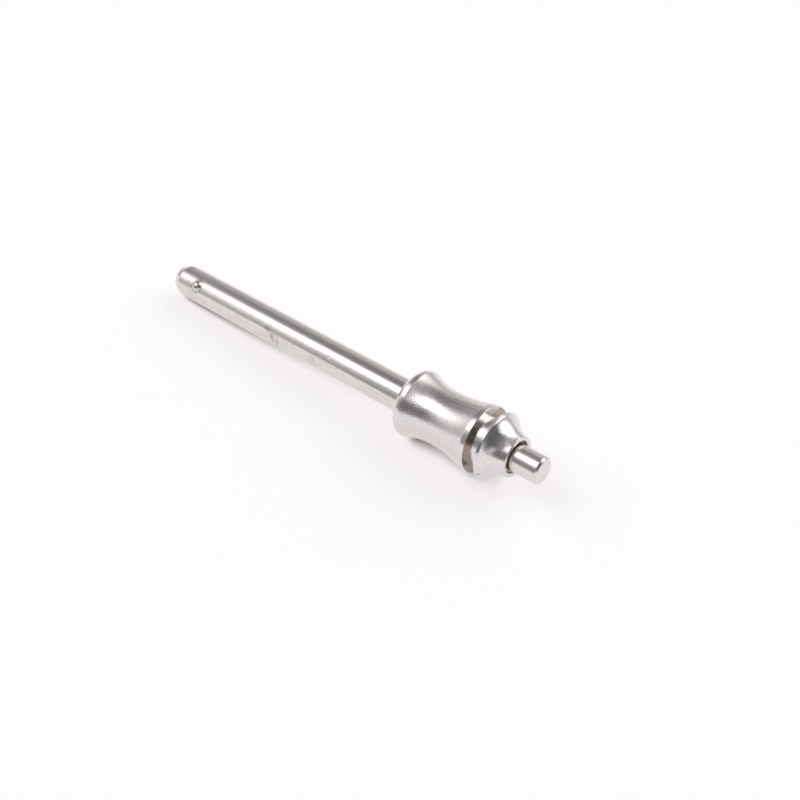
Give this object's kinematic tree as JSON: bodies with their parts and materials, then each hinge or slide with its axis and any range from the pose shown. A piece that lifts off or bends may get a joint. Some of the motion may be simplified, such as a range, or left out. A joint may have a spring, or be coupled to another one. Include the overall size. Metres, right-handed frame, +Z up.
{
  "type": "ball lock pin",
  "caption": "Slim steel quick-release pin with a waisted push-button handle, a ring groove and spring-loaded locking balls near its tip.",
  "frame": {"origin": "on the surface the pin lies on, under the middle of its length", "axes": "+X along the pin towards the button, +Z up; the pin leans by about 3 degrees, because it lies on its front rim and on the edge of its nose"},
  "size_m": [0.0888, 0.0124, 0.0134],
  "materials": {
    "blasted_stainless": "satin",
    "ground_stainless": "polished",
    "polished_ball_steel": "polished",
    "spring_wire": "drawn"
  },
  "bodies": {
    "housing": {"handle": "blasted_stainless", "shank": "ground_stainless", "spring": "spring_wire"},
    "plunger": {"button": "ground_stainless", "spindle": "ground_stainless"},
    "front_ball": {"ball_front": "polished_ball_steel"},
    "back_ball": {"ball_back": "polished_ball_steel"}
  },
  "joints": [
    {"name": "button_press", "type": "slide", "parent": "housing", "child": "plunger", "axis": [-0.9986, 0, -0.052], "range_m": [0, 0.003], "stiffness_N_per_m": 800, "springref_m": -0.004, "deforming": ["spring"]},
    {"name": "front_ball_sink", "type": "slide", "parent": "housing", "child": "front_ball", "axis": [0.0361, 0.7193, -0.6937], "range_m": [0, 0.0008]},
    {"name": "back_ball_sink", "type": "slide", "parent": "housing", "child": "back_ball", "axis": [-0.0361, -0.7193, 0.6937], "range_m": [0, 0.0008]}
  ],
  "couplings": [
    {"joint": "front_ball_sink", "follows": "button_press", "ratio": 0.2666},
    {"joint": "back_ball_sink", "follows": "button_press", "ratio": 0.2666}
  ]
}
